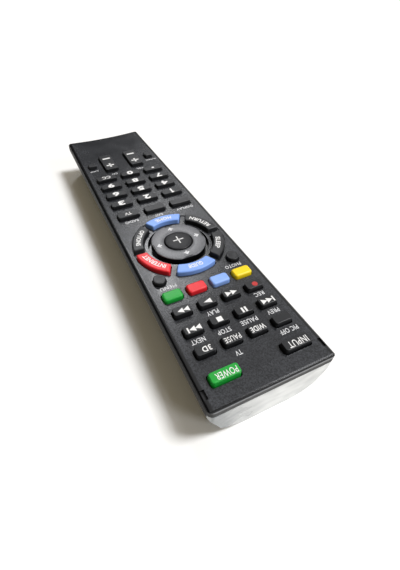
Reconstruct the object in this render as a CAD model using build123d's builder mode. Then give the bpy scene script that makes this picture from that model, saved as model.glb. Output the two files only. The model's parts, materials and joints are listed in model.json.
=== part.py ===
from build123d import *
from math import asin, cos, degrees, radians, sin, sqrt
import os

os.makedirs("parts", exist_ok=True)

# A hand-held television remote control lying on its back, in millimetres.
# The middle of the rest face is the origin, the infrared end points to +Y and the keys face +Z.

# Case
case_length = 203.6
case_width = 49.0
wall = 1.8
face_wall = 1.6
shoulder_radius = 1.6  # rounding of the two long top edges
front_corner = 2.4
tail_corner = 3.0
tail_scoop = 1.6  # how far the tail edge bows in at its middle
face_bevel = 0.35

# Cells and the height that they set
cell_diameter = 10.5
cell_length = 43.5
nub_diameter = 3.8
nub_length = 1.0
cell_spacing = 13.2
cell_flats = 24
cell_gap = 0.2  # door to the cells
cell_top_gap = 0.15
bay_ceiling = 0.5
layer_gap = 0.05
board_thickness = 1.2
board_to_face = 5.6  # top of the board up to the key face

# Cross-section of the lower half, and the seam between the two halves
seam_drop = 4.4  # key face down to the seam
belly_flat = 16.0  # width of the flat strip that it rests on
chine_width = 39.0  # width where the rounded belly meets the flank
chine_height = 4.4
rake_run = 5.0  # slanted cut under the tail, along Y
rake_rise = 7.0
tongue_height = 1.2
tongue_wall = 0.8
seam_gap = 0.15

# Infrared end
window_thickness = 1.6
window_drop = 3.2  # key face down to the top of the window
window_gap = 0.1
window_bevel = 0.4
port_width = 32.0  # opening behind the window
port_floor = 6.0
hook_width = 2.4
hook_length = 2.2
groove_width = 0.5  # shadow groove along the front edge of the face
groove_depth = 0.6
lip_width = 0.45
lip_drop = 0.2
notch_length = 3.5  # slot in each shoulder near the front
notch_width = 1.5
notch_depth = 1.1
notch_from_front = 6.4

# Key travel, and the layers under the face
travel = 0.8
key_gap = 0.35  # between a key and its hole
flange_overlap = 0.45
flange_thickness = 0.7
flange_gap = 0.3
tip_gap = 0.15  # left at the end of a tipping key's swing
press_gap = 0.08  # left over a contact when its key is fully down
mat_thickness = 0.8
board_gap = 0.35  # board and mat to the flanks of the case
board_inset = 4.3  # ends of the case to the ends of the board and mat
stem_margin = 1.1  # side of a key in to the side of its stem
stem_gap = 0.4
round_stem = 3.2
pill_thickness = 0.4
pill_inset = 0.3

# Keys: the rows fill the width of the case, less a margin at each side and a gap between columns
head_key_width = 11.1
head_key_depth = 4.3
head_side = 4.95
play_key_depth = 4.1
play_side = 5.2
play_column_gap = 3.0
colour_key_depth = 5.0
colour_side = 4.75
colour_column_gap = 2.1
digit_key_depth = 4.7
digit_side = 4.9
digit_column_gap = 3.1
rocker_length = 19.4
rocker_middle_gap = 7.9
rocker_tilt = 3.0  # degrees each way
rocker_pill_setback = 4.2  # end of a rocker to the middle of its contact
rocker_stem_margin = 1.4
corner_key_width = 4.6
corner_key_depth = 4.8
corner_side = 4.4
corner_gap = 3.75  # corner key to rocker
round_key_diameter = 5.4
round_side = 4.7
round_gap = 2.18  # round key to the arc keys
tall_rise = 2.3
low_rise = 1.8
key_corner = 0.8
key_bevel = 0.35
colour_bevel = 0.8
colour_corner = 1.3
key_draft = 3.0  # degrees
corner_flats = 2
arc_flats = 6
round_flats = 24

# Rows, each measured from the one before it, starting at the front end
head_setback = 9.4
play_setback = 10.5
play_pitch = 9.25
colour_setback = 9.0
pad_setback = 29.0
function_setback = 29.7
digit_setback = 10.8
digit_pitch = 9.5
rocker_setback = 18.6

# Ring of six arc keys, the direction pad inside it and the key in the middle
ring_side = 3.6
arc_depth = 5.1
arc_spacing = 2.8
arc_bevel = 0.6
dish_depth = 0.35
dish_margin = 0.45
pad_bridge = 1.45  # strip of the face between the arc keys and the pad
pad_moat = 1.5
pad_width = 6.3
pad_rise = 1.6
pad_flat = 0.6  # depth of the four flats on the rim
pad_tilt = 2.5  # degrees each way
pad_pill = 2.6
ok_gap = 0.4
ok_rise = 1.9
ok_depth = 2.2  # key face down to the underside of the middle key
ok_stem = 4.4
web_thickness = 0.8
web_ring = 1.0
web_arm = 4.0
well_margin = 1.3  # mat opening beyond the pad's contacts

# Battery bay, contacts and door
bay_setback = 8.8  # tail of the case to the bay
bay_side = 1.65  # cells to the side walls of the bay
bay_wall = 1.0
contact_thickness = 0.4
contact_width = 8.0
contact_height = 7.0
contact_reach = 2.0
contact_leaf = 3.0
contact_tab = 2.0
door_margin = 0.1  # side wall of the bay out to the edge of the door
door_overrun = 6.5  # front of the bay to the front edge of the door
door_lip = 5.0  # height of the door's edge at the tail
door_gap = 0.2
rail_reach = 0.7
rail_thickness = 0.5
rail_gap = 0.15
latch_width = 6.0
latch_length = 3.0
latch_thickness = 1.0
grip_count = 5
grip_pitch = 2.2
grip_width = 0.9
grip_depth = 0.4
grip_length = 12.0
grip_start = 8.0

# Board parts, ribs and posts
led_diameter = 5.0
led_body = 5.6
led_rim = 0.4  # how far the rim stands out from the body
led_rim_thickness = 1.0
led_pitch = 2.5
led_flats = 16
lead_size = 0.5
lead_length = 4.0
led_margin = 0.9  # rim to the sides of its notch in the board
chip_size = 11.0
chip_thickness = 1.5
chip_setback = 61.8
pin_count = 6
pin_pitch = 1.6
pin_width = 0.6
pin_length = 1.2
pin_thickness = 0.3
rib_thickness = 1.2
rib_depth = 4.0
rib_setback = 13.8
rib_pitch = 40.0
rib_count = 5
post_size = 2.0

# Heights that follow
half_length = case_length / 2
half_width = case_width / 2
cell_floor = wall + cell_gap
cell_axis = cell_floor + cell_diameter / 2
bay_roof = cell_floor + cell_diameter + cell_top_gap
board_base = bay_roof + bay_ceiling + layer_gap
board_top = board_base + board_thickness
face_height = board_top + board_to_face
face_under = face_height - face_wall
seam_height = face_height - seam_drop
window_top = face_height - window_drop
window_back = half_length - window_thickness
bulkhead_front = window_back - window_gap
mat_base = board_top + layer_gap
mat_top = mat_base + mat_thickness
flange_top = face_under - flange_gap
flange_base = flange_top - flange_thickness
pill_base = board_top + travel + press_gap

# Inside of the flanks at the height of the board
flank_slope = (half_width - chine_width / 2) / (seam_height - chine_height)
flank_inset = wall * sqrt(1 + flank_slope ** 2)
board_reach = chine_width / 2 + (board_base - chine_height) * flank_slope - flank_inset - board_gap
board_tail = board_inset - half_length
board_front = half_length - board_inset

# Columns and rows that follow
play_key_width = (case_width - 2 * play_side - 3 * play_column_gap) / 4
colour_key_width = (case_width - 2 * colour_side - 3 * colour_column_gap) / 4
digit_key_width = (case_width - 2 * digit_side - 2 * digit_column_gap) / 3
head_column = half_width - head_side - head_key_width / 2
corner_key_column = half_width - corner_side - corner_key_width / 2
rocker_width = half_width - corner_side - corner_key_width - corner_gap - rocker_middle_gap / 2
rocker_column = (rocker_middle_gap + rocker_width) / 2
head_row = half_length - head_setback
play_row = head_row - play_setback
colour_row = play_row - 2 * play_pitch - colour_setback
pad_centre = colour_row - pad_setback
function_row = pad_centre - function_setback
digit_row = function_row - digit_setback
last_digit_row = digit_row - 3 * digit_pitch
rocker_row = last_digit_row - rocker_setback

# Ring and pad that follow
arc_outer = half_width - ring_side
arc_inner = arc_outer - arc_depth
arc_middle = (arc_inner + arc_outer) / 2
arc_hole_outer = arc_outer + key_gap
pad_hole_radius = arc_inner - key_gap - pad_bridge
pad_radius = pad_hole_radius - pad_moat
pad_flange_radius = pad_hole_radius + flange_overlap
pad_inner = pad_radius - pad_width + ok_gap
ok_radius = pad_radius - pad_width
pad_pill_circle = (pad_inner + pad_radius) / 2
web_radius = pad_inner + web_ring
round_column = half_width - round_side - round_key_diameter / 2
round_reach = arc_outer + round_gap + round_key_diameter / 2
round_row = pad_centre + sqrt(round_reach ** 2 - round_column ** 2)

# Heights of the keys that tip
rocker_pill = rocker_length / 2 - rocker_pill_setback
rocker_stem = rocker_width - 2 * rocker_stem_margin
rocker_flange_reach = rocker_length / 2 + key_gap + flange_overlap
rocker_flange_top = face_under - rocker_flange_reach * sin(radians(rocker_tilt)) - tip_gap
rocker_pill_base = board_top + (rocker_pill + rocker_stem / 2) * sin(radians(rocker_tilt)) + press_gap
pad_flange_top = face_under - pad_flange_radius * sin(radians(pad_tilt) * sqrt(2)) - tip_gap
pad_base = pad_flange_top - flange_thickness
pad_pill_base = board_top + (pad_pill_circle + pad_pill) * sin(radians(pad_tilt)) + press_gap
web_top = pad_base - web_radius * sin(radians(pad_tilt)) - tip_gap

# Bay and door that follow
cell_end_gap = contact_reach + contact_thickness + 2 * layer_gap
bay_width = cell_spacing + cell_diameter + 2 * bay_side
bay_tail = bay_setback - half_length
bay_front = bay_tail + cell_length + nub_length + 2 * cell_end_gap
door_width = bay_width + 2 * door_margin
door_front = bay_front + door_overrun
door_edge = door_width / 2 + door_gap
bilge_radius = (((chine_width - belly_flat) / 2) ** 2 + chine_height ** 2) / (2 * chine_height)
door_depth = bilge_radius - sqrt((bilge_radius - wall) ** 2 - (door_edge - belly_flat / 2) ** 2) + door_gap
rail_offset = door_edge + rail_reach / 2 - belly_flat / 2
rail_middle = bilge_radius - (sqrt(bilge_radius ** 2 - rail_offset ** 2)
                              + sqrt((bilge_radius - wall) ** 2 - rail_offset ** 2)) / 2
rail_height = rail_middle - rail_thickness / 2

# Lamp, and the posts between the key rows
lamp_height = (board_base + board_top) / 2
led_shoulder = window_back - window_gap - tip_gap - led_diameter / 2
led_seat = led_shoulder - led_body
led_slot_back = led_seat - lead_length
led_slot_width = led_diameter + 2 * led_rim + 2 * led_margin
post_rows = (play_row - play_pitch / 2,
             (play_row - 2 * play_pitch - play_key_depth / 2 + colour_row + colour_key_depth / 2) / 2,
             (function_row + digit_row) / 2,
             digit_row - 1.5 * digit_pitch,
             (last_digit_row - digit_key_depth / 2 + rocker_row + rocker_length / 2) / 2,
             (rocker_row - rocker_length / 2 - half_length) / 2)


# Points along part of a circle, in degrees from start to end
def arc_points(x, y, radius, start, end, flats):
    points = []
    for step in range(flats + 1):
        angle = radians(start + (end - start) * step / flats)
        points.append((x + radius * cos(angle), y + radius * sin(angle)))
    return points


# Rectangle whose corners are rounded off in a few flats, round the current location
def rounded_box(width, depth, corner):
    x = width / 2 - corner
    y = depth / 2 - corner
    Polygon(*arc_points(x, y, corner, 0, 90, corner_flats),
            *arc_points(-x, y, corner, 90, 180, corner_flats),
            *arc_points(-x, -y, corner, 180, 270, corner_flats),
            *arc_points(x, -y, corner, 270, 360, corner_flats))


# Plan of the case: a long rectangle whose tail edge bows in. inset moves the outline inwards.
def case_plan(inset, height):
    width = case_width - 2 * inset
    end = half_length - inset
    with BuildSketch(Plane.XY.offset(height)) as plan:
        Rectangle(width, 2 * end)
        corners = plan.vertices().group_by(Axis.Y)
        fillet(corners[-1], max(front_corner - inset, 0.4))
        tail_round = max(tail_corner - inset, 0.4)
        fillet(corners[0], tail_round)
        reach = width / 2 - tail_round
        with BuildLine():
            ThreePointArc((-reach, -end), (0, tail_scoop - end), (reach, -end))
            Line((reach, -end), (-reach, -end))
        make_face(mode=Mode.SUBTRACT)
    return plan.sketch


# Cross-section of the lower half: flat belly, rounded bilge, slanted flank, upright from the seam.
def hull_section(inset):
    with BuildSketch(Plane.XZ) as section:
        with BuildLine():
            Line((0, 0), (belly_flat / 2, 0))
            TangentArc((belly_flat / 2, 0), (chine_width / 2, chine_height), tangent=(1, 0))
            Polyline((chine_width / 2, chine_height), (half_width, seam_height),
                     (half_width, 2 * face_height), (0, 2 * face_height))
            mirror(about=Plane.YZ)
        make_face()
        if inset:
            offset(amount=-inset, kind=Kind.INTERSECTION)
    return section.sketch


# The hull as a solid up to a height, moved in by inset, with the slanted cut under its tail
def hull_block(inset, top):
    slope = Vector(-rake_run, rake_rise).normalized()
    inwards = Vector(rake_rise, rake_run).normalized() * inset
    low = Vector(rake_run - half_length, 0) + inwards - slope * rake_rise
    high = Vector(-half_length, rake_rise) + inwards + slope * rake_rise
    with BuildPart() as block:
        extrude(hull_section(inset), amount=half_length - inset, both=True)
        extrude(case_plan(inset, -1), amount=top + 1, mode=Mode.INTERSECT)
        with BuildSketch(Plane.YZ):
            with BuildLine():
                Polyline(low, high, (high.X, low.Y), close=True)
            make_face()
        extrude(amount=case_width, both=True, mode=Mode.SUBTRACT)
    return block.part


# A block given by its limits, for trimming and cutting
def slab(x, y, z, mode):
    with Locations(((x[0] + x[1]) / 2, (y[0] + y[1]) / 2, (z[0] + z[1]) / 2)):
        Box(x[1] - x[0], y[1] - y[0], z[1] - z[0], mode=mode)


# Every key that has a straight outline: name, x, y, width, depth, rise, bevel, corner
box_keys = []
tall_style = (tall_rise, key_bevel, key_corner)
low_style = (low_rise, key_bevel, key_corner)
colour_style = (low_rise, colour_bevel, colour_corner)


def row_of(names, pitch, y, width, depth, style):
    first = -pitch * (len(names) - 1) / 2
    for number, name in enumerate(names):
        box_keys.append((name, first + number * pitch, y, width, depth) + style)


row_of(["input_key", "power_key"], 2 * head_column, head_row,
       head_key_width, head_key_depth, tall_style)
play_rows = [
    ["picture_off_key", "wide_key", "tv_pause_key", "depth_key"],
    ["previous_key", "pause_key", "stop_key", "next_key"],
    ["record_key", "rewind_key", "play_key", "forward_key"],
]
for number, names in enumerate(play_rows):
    row_of(names, play_key_width + play_column_gap, play_row - number * play_pitch,
           play_key_width, play_key_depth, tall_style)
row_of(["yellow_key", "blue_key", "red_key", "green_key"], colour_key_width + colour_column_gap, colour_row,
       colour_key_width, colour_key_depth, colour_style)
row_of(["display_key", "exit_key", "source_key"], digit_key_width + digit_column_gap, function_row,
       digit_key_width, digit_key_depth, low_style)
digit_rows = [
    ["digit_1_key", "digit_2_key", "digit_3_key"],
    ["digit_4_key", "digit_5_key", "digit_6_key"],
    ["digit_7_key", "digit_8_key", "digit_9_key"],
    ["dot_key", "digit_0_key", "caption_key"],
]
for number, names in enumerate(digit_rows):
    row_of(names, digit_key_width + digit_column_gap, digit_row - number * digit_pitch,
           digit_key_width, digit_key_depth, low_style)
row_of(["volume_rocker", "channel_rocker"], 2 * rocker_column, rocker_row,
       rocker_width, rocker_length, low_style)
row_of(["mute_key", "jump_key"], 2 * corner_key_column, rocker_row,
       corner_key_width, corner_key_depth, low_style)

round_keys = [("round_key_left", -round_column), ("round_key_right", round_column)]
arc_keys = [("shortcut_key", 30), ("guide_key", 90), ("sleep_key", 150),
            ("return_key", 210), ("home_key", 270), ("options_key", 330)]


# One arc of the ring of six, grown by margin on every side. Its ends lie along the gaps between arcs.
def arc_face(angle, margin):
    outer = arc_outer + margin
    inner = arc_inner - margin
    outer_half = 30 - degrees(asin((arc_spacing / 2 - margin) / outer))
    inner_half = 30 - degrees(asin((arc_spacing / 2 - margin) / inner))
    with BuildSketch() as face:
        with BuildLine():
            Polyline(*arc_points(0, pad_centre, outer, angle - outer_half, angle + outer_half, arc_flats),
                     *arc_points(0, pad_centre, inner, angle + inner_half, angle - inner_half, arc_flats),
                     close=True)
        make_face()
    return face.sketch


# Upper half of the case: a thin shell whose face carries all the key holes
with BuildPart() as top_cover:
    with BuildSketch(Plane.XZ) as arch:
        with Locations((0, (seam_height + face_height) / 2)):
            Rectangle(case_width, seam_drop)
        fillet(arch.vertices().group_by(Axis.Y)[-1], shoulder_radius)
    extrude(amount=half_length, both=True)
    extrude(case_plan(0, 0), amount=face_height + 1, mode=Mode.INTERSECT)
    extrude(case_plan(wall, seam_height - 1), amount=face_under - seam_height + 1, mode=Mode.SUBTRACT)
    # rebate for the tongue of the lower half
    extrude(case_plan(wall - tongue_wall - seam_gap, seam_height - 1),
            amount=tongue_height + seam_gap + 1, mode=Mode.SUBTRACT)
    # room for the window under the front lip
    slab((-case_width, case_width), (bulkhead_front, half_length + 1),
         (seam_height - 1, window_top + window_gap), Mode.SUBTRACT)
    # shadow groove behind the front lip, with the bevelled edge of the face beside it
    groove_back = half_length - lip_width - groove_width
    with BuildSketch(Plane.YZ):
        with BuildLine():
            Polyline((groove_back - face_bevel, face_height + 1), (groove_back - face_bevel, face_height),
                     (groove_back, face_height - face_bevel), (groove_back, face_height - groove_depth),
                     (groove_back + groove_width, face_height - groove_depth),
                     (groove_back + groove_width, face_height - lip_drop),
                     (half_length + 1, face_height - lip_drop), (half_length + 1, face_height + 1),
                     close=True)
        make_face()
    extrude(amount=case_width, both=True, mode=Mode.SUBTRACT)
    # slots in the shoulders
    for side in (-1, 1):
        with Locations((side * (half_width - shoulder_radius), half_length - notch_from_front, face_height)):
            Box(notch_width, notch_length, 2 * notch_depth, mode=Mode.SUBTRACT)
    # shallow dish round the direction pad
    with Locations((0, pad_centre, face_height)):
        Cylinder(arc_hole_outer + dish_margin, 2 * dish_depth, mode=Mode.SUBTRACT)
    # posts that hold the mat down
    with BuildSketch(Plane.XY.offset(mat_top + layer_gap)):
        with Locations(*[(0, y) for y in post_rows]):
            Rectangle(post_size, post_size)
    extrude(amount=face_under - mat_top)
    # key holes
    with BuildSketch(Plane.XY.offset(face_under - 1)):
        for name, x, y, width, depth, rise, bevel, corner in box_keys:
            with Locations((x, y)):
                rounded_box(width + 2 * key_gap, depth + 2 * key_gap, corner + key_gap)
        for name, x in round_keys:
            with Locations((x, round_row)):
                RegularPolygon(round_key_diameter / 2 + key_gap, round_flats)
        with Locations((0, pad_centre)):
            Circle(pad_hole_radius)
        for name, angle in arc_keys:
            add(arc_face(angle, key_gap))
    extrude(amount=face_wall + 2, mode=Mode.SUBTRACT)
top_cover.part.label = "top_cover"
export_step(top_cover.part, "parts/top_cover.step")


# Everything inside the lower half: its hollow, less the ribs and the battery box that stand in it
with BuildPart() as hollow:
    add(hull_block(wall, seam_height + 1))
    slab((-case_width, case_width), (bulkhead_front - wall, half_length + 1), (-1, face_height), Mode.SUBTRACT)
    for number in range(rib_count):
        for side in (-1, 1):
            with Locations((side * half_width, half_length - rib_setback - number * rib_pitch,
                            (board_base - layer_gap) / 2)):
                Box(2 * (half_width - board_reach + rib_depth), rib_thickness, board_base - layer_gap,
                    mode=Mode.SUBTRACT)
    slab((-bay_width / 2 - bay_wall, bay_width / 2 + bay_wall), (bay_tail - bay_wall, bay_front + bay_wall),
         (0, board_base - layer_gap), Mode.SUBTRACT)

with BuildPart() as bay:
    add(hull_block(wall, seam_height + 1))
    slab((-bay_width / 2, bay_width / 2), (bay_tail, bay_front), (0, bay_roof), Mode.INTERSECT)


# What the battery door takes out of the lower skin: its belly, its tail lip and its two side tongues.
# gap is the clearance all round, and nothing for the door itself.
def door_block(gap, slot):
    edge = door_width / 2 + gap
    with BuildPart() as block:
        slab((-edge, edge), (-half_length - 1, door_front + gap), (-1, door_depth), Mode.ADD)
        slab((-edge, edge), (-half_length - 1, rake_run - half_length), (-1, door_lip + gap), Mode.ADD)
        slab((-edge - rail_reach, edge + rail_reach), (-half_length - 1, door_front + gap),
             (rail_height - slot, rail_height + rail_thickness + slot), Mode.ADD)
    return block.part


# Lower half of the case
with BuildPart() as bottom_cover:
    add(hull_block(0, seam_height))
    # tongue round the rim
    extrude(case_plan(wall - tongue_wall, seam_height - wall), amount=tongue_height + wall)
    add(hollow.part, mode=Mode.SUBTRACT)
    add(bay.part, mode=Mode.SUBTRACT)
    extrude(case_plan(wall, seam_height), amount=tongue_height + 1, mode=Mode.SUBTRACT)
    slab((-case_width, case_width), (bulkhead_front, half_length + 1), (-1, face_height), Mode.SUBTRACT)
    # infrared port
    slab((-port_width / 2, port_width / 2), (bulkhead_front - 2 * wall, half_length),
         (port_floor, face_height), Mode.SUBTRACT)
    add(door_block(door_gap, rail_gap), mode=Mode.SUBTRACT)
    # slots for the tabs of the two front contacts
    with Locations((-cell_spacing / 2, bay_front, bay_roof), (cell_spacing / 2, bay_front, bay_roof)):
        Box(contact_tab + 2 * door_gap, 4 * contact_thickness, 6 * bay_ceiling, mode=Mode.SUBTRACT)
bottom_cover.part.label = "bottom_cover"
export_step(bottom_cover.part, "parts/bottom_cover.step")

# Battery door: it slides towards the tail on its side tongues
with BuildPart() as battery_door:
    add(hull_block(0, door_lip + 2))
    add(hull_block(wall, door_lip + 2), mode=Mode.SUBTRACT)
    add(door_block(0, 0), mode=Mode.INTERSECT)
    slab((-latch_width / 2, latch_width / 2), (door_front - latch_length, door_front + latch_length),
         (wall + rail_gap, wall + rail_gap + latch_thickness), Mode.ADD)
    slab((-latch_width / 2, latch_width / 2), (door_front - latch_length, door_front),
         (wall / 2, wall + latch_thickness / 2), Mode.ADD)
    # grip ridges
    with Locations((0, door_front - grip_start, 0)):
        with GridLocations(0, grip_pitch, 1, grip_count):
            Box(grip_length, grip_width, 2 * grip_depth, mode=Mode.SUBTRACT)
battery_door.part.label = "battery_door"
export_step(battery_door.part, "parts/battery_door.step")

# Infrared window across the whole front, with a bevelled outline and two hooks behind
with BuildPart() as ir_window:
    with BuildSketch(Plane.XZ.offset(window_bevel - half_length)) as pane:
        add(hull_section(0))
        Rectangle(case_width, 2 * window_top, mode=Mode.INTERSECT)
    extrude(amount=window_thickness - window_bevel)
    extrude(pane.sketch, amount=-window_bevel, taper=45)
    extrude(case_plan(0, -1), amount=face_height, mode=Mode.INTERSECT)
    for side in (-1, 1):
        with Locations((side * (port_width / 2 - hook_width / 2 - door_gap), window_back - hook_length / 2,
                        (port_floor + seam_height) / 2)):
            Box(hook_width, hook_length + window_gap, hook_width)
ir_window.part.label = "ir_window"
export_step(ir_window.part, "parts/ir_window.step")


# Stems under the keys: x, y, width, depth, turn. A rocker has one at each end.
stems = []
for name, x, y, width, depth, rise, bevel, corner in box_keys:
    if depth == rocker_length:
        stems.append((x, y - rocker_pill, rocker_stem, rocker_stem, 0))
        stems.append((x, y + rocker_pill, rocker_stem, rocker_stem, 0))
    else:
        stems.append((x, y, width - 2 * stem_margin, depth - 2 * stem_margin, 0))
for name, x in round_keys:
    stems.append((x, round_row, round_stem, round_stem, 0))
for name, angle in arc_keys:
    stems.append((arc_middle * cos(radians(angle)), pad_centre + arc_middle * sin(radians(angle)),
                  round_stem, round_stem, angle))

# Silicone mat over the board, with an opening round the stem of each key
with BuildPart() as keypad_mat:
    slab((-board_reach, board_reach), (board_tail, board_front), (mat_base, mat_top), Mode.ADD)
    with BuildSketch(Plane.XY.offset(mat_base)):
        for x, y, width, depth, turn in stems:
            with Locations(Pos(x, y, 0) * Rot(0, 0, turn)):
                Rectangle(width + 2 * stem_gap, depth + 2 * stem_gap)
        with Locations((0, pad_centre)):
            RegularPolygon(pad_pill_circle + pad_pill / 2 + well_margin, round_flats)
    extrude(amount=mat_thickness, mode=Mode.SUBTRACT)
    slab((-led_slot_width / 2, led_slot_width / 2), (led_slot_back, half_length),
         (mat_base - 1, face_height), Mode.SUBTRACT)
keypad_mat.part.label = "keypad_mat"
export_step(keypad_mat.part, "parts/keypad_mat.step")

# Circuit board, notched at the front for the infrared lamp
with BuildPart() as circuit_board:
    slab((-board_reach, board_reach), (board_tail, board_front), (board_base, board_top), Mode.ADD)
    slab((-led_slot_width / 2, led_slot_width / 2), (led_slot_back, half_length),
         (board_base - 1, board_top + 1), Mode.SUBTRACT)
circuit_board.part.label = "circuit_board"
export_step(circuit_board.part, "parts/circuit_board.step")

# Infrared lamp in the notch, its domed end just behind the window
with BuildPart() as ir_led:
    with BuildSketch(Plane.XZ.offset(-led_seat)):
        with Locations((0, lamp_height)):
            RegularPolygon(led_diameter / 2, led_flats)
    extrude(amount=-(led_body + led_diameter / 2))
    chamfer(ir_led.faces().sort_by(Axis.Y)[-1].edges(), length=led_diameter / 3, length2=led_diameter / 4)
    with BuildSketch(Plane.XZ.offset(-led_seat)):
        with Locations((0, lamp_height)):
            RegularPolygon(led_diameter / 2 + led_rim, led_flats)
    extrude(amount=-led_rim_thickness)
    with BuildSketch(Plane.XZ.offset(-led_seat)):
        with Locations((0, lamp_height)):
            with GridLocations(led_pitch, 0, 2, 1):
                Rectangle(lead_size, lead_size)
    extrude(amount=lead_length - layer_gap)
ir_led.part.label = "ir_led"
export_step(ir_led.part, "parts/ir_led.step")

# Controller chip under the board, with its two rows of pins
with BuildPart() as controller_chip:
    with Locations((0, half_length - chip_setback, board_base - layer_gap - pin_thickness - chip_thickness / 2)):
        Box(chip_size, chip_size, chip_thickness)
    with Locations((0, half_length - chip_setback, board_base - layer_gap - pin_thickness / 2)):
        with GridLocations(chip_size, pin_pitch, 2, pin_count):
            Box(2 * pin_length, pin_width, pin_thickness)
controller_chip.part.label = "controller_chip"
export_step(controller_chip.part, "parts/controller_chip.step")


# Two cells side by side, nubs in opposite directions
cell_middle = (bay_front + bay_tail) / 2
for name, toward in (("battery_left", 1), ("battery_right", -1)):
    with BuildPart() as cell:
        with BuildSketch(Plane.XZ.offset((toward * nub_length + cell_length) / 2 - cell_middle)):
            with Locations((-toward * cell_spacing / 2, cell_axis)):
                RegularPolygon(cell_diameter / 2, cell_flats)
        extrude(amount=-cell_length)
        with Locations((-toward * cell_spacing / 2, cell_middle + toward * cell_length / 2, cell_axis)):
            Cylinder(nub_diameter / 2, nub_length, rotation=(90, 0, 0))
    cell.part.label = name
    export_step(cell.part, "parts/" + name + ".step")


# A sprung leaf bent out of a contact plate. toward is the way it faces, +1 for +Y.
def contact_bump(x, y, toward):
    reach = toward * contact_reach
    back = toward * contact_thickness
    half = contact_height / 2
    with BuildSketch(Plane(origin=(x, y, cell_axis), x_dir=(0, 1, 0), z_dir=(1, 0, 0))) as strip:
        with BuildLine():
            Polyline((0, -half), (reach, -half / 3), (reach, half / 3), (0, half),
                     (0, half - contact_thickness), (reach - back, half / 3 - contact_thickness / 3),
                     (reach - back, contact_thickness / 3 - half / 3), (0, contact_thickness - half),
                     close=True)
        make_face()
    extrude(strip.sketch, amount=contact_leaf / 2, both=True)


# Plate across the tail of the bay that joins the two cells
with BuildPart() as contact_bridge:
    plate_back = bay_tail + layer_gap
    slab((-cell_spacing / 2 - contact_width / 2, cell_spacing / 2 + contact_width / 2),
         (plate_back, plate_back + contact_thickness),
         (cell_axis - contact_height / 2, cell_axis + contact_height / 2), Mode.ADD)
    for side in (-1, 1):
        contact_bump(side * cell_spacing / 2, plate_back + contact_thickness, 1)
contact_bridge.part.label = "contact_bridge"
export_step(contact_bridge.part, "parts/contact_bridge.step")

# Two equal contacts at the front of the bay, each with a tab up to the board
with BuildPart() as board_contacts:
    plate_front = bay_front - layer_gap
    for side in (-1, 1):
        x = side * cell_spacing / 2
        slab((x - contact_width / 2, x + contact_width / 2), (plate_front - contact_thickness, plate_front),
             (cell_axis - contact_height / 2, cell_axis + contact_height / 2), Mode.ADD)
        slab((x - contact_tab / 2, x + contact_tab / 2), (plate_front - contact_thickness, plate_front),
             (cell_axis, board_base - layer_gap), Mode.ADD)
        contact_bump(x, plate_front - contact_thickness, -1)
board_contacts.part.label = "board_contacts"
export_step(board_contacts.part, "parts/board_contacts.step")


# Stem from the underside of a key down to its contact pill
def stem_down(x, y, width, depth, turn, top, bottom):
    for inset, low in ((0, bottom + pill_thickness), (pill_inset, bottom)):
        with BuildSketch(Plane.XY.offset(low)) as stem:
            with Locations(Pos(x, y, 0) * Rot(0, 0, turn)):
                Rectangle(width - 2 * inset, depth - 2 * inset)
        extrude(stem.sketch, amount=top - low)


# Keys with straight outlines. The two rockers tip, so their flange lies lower and they have two stems.
for name, x, y, width, depth, rise, bevel, corner in box_keys:
    tips = depth == rocker_length
    flange = (rocker_flange_top if tips else flange_top) - flange_thickness
    with BuildPart() as key:
        with BuildSketch(Plane.XY.offset(flange)):
            with Locations((x, y)):
                rounded_box(width, depth, corner)
        extrude(amount=face_height + rise - flange, taper=key_draft)
        chamfer(key.faces().sort_by(Axis.Z)[-1].edges(), length=bevel)
        with BuildSketch(Plane.XY.offset(flange)):
            with Locations((x, y)):
                Rectangle(width + 2 * (key_gap + flange_overlap), depth + 2 * (key_gap + flange_overlap))
        extrude(amount=flange_thickness)
        if tips:
            stem_down(x, y - rocker_pill, rocker_stem, rocker_stem, 0, flange, rocker_pill_base)
            stem_down(x, y + rocker_pill, rocker_stem, rocker_stem, 0, flange, rocker_pill_base)
        else:
            stem_down(x, y, width - 2 * stem_margin, depth - 2 * stem_margin, 0, flange, pill_base)
    key.part.label = name
    export_step(key.part, "parts/" + name + ".step")

# Small round keys
for name, x in round_keys:
    with BuildPart() as key:
        with BuildSketch(Plane.XY.offset(flange_base)):
            with Locations((x, round_row)):
                RegularPolygon(round_key_diameter / 2, round_flats)
        extrude(amount=face_height + low_rise - flange_base)
        chamfer(key.faces().sort_by(Axis.Z)[-1].edges(), length=key_bevel)
        with BuildSketch(Plane.XY.offset(flange_base)):
            with Locations((x, round_row)):
                RegularPolygon(round_key_diameter / 2 + key_gap + flange_overlap, round_flats)
        extrude(amount=flange_thickness)
        stem_down(x, round_row, round_stem, round_stem, 0, flange_base, pill_base)
    key.part.label = name
    export_step(key.part, "parts/" + name + ".step")

# Arc keys
for name, angle in arc_keys:
    with BuildPart() as key:
        with BuildSketch(Plane.XY.offset(flange_base)):
            add(arc_face(angle, 0))
        extrude(amount=face_height + low_rise - flange_base)
        chamfer(key.faces().sort_by(Axis.Z)[-1].edges(), length=arc_bevel)
        with BuildSketch(Plane.XY.offset(flange_base)):
            add(arc_face(angle, key_gap + flange_overlap))
        extrude(amount=flange_thickness)
        stem_down(arc_middle * cos(radians(angle)), pad_centre + arc_middle * sin(radians(angle)),
                  round_stem, round_stem, angle, flange_base, pill_base)
    key.part.label = name
    export_step(key.part, "parts/" + name + ".step")

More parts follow.
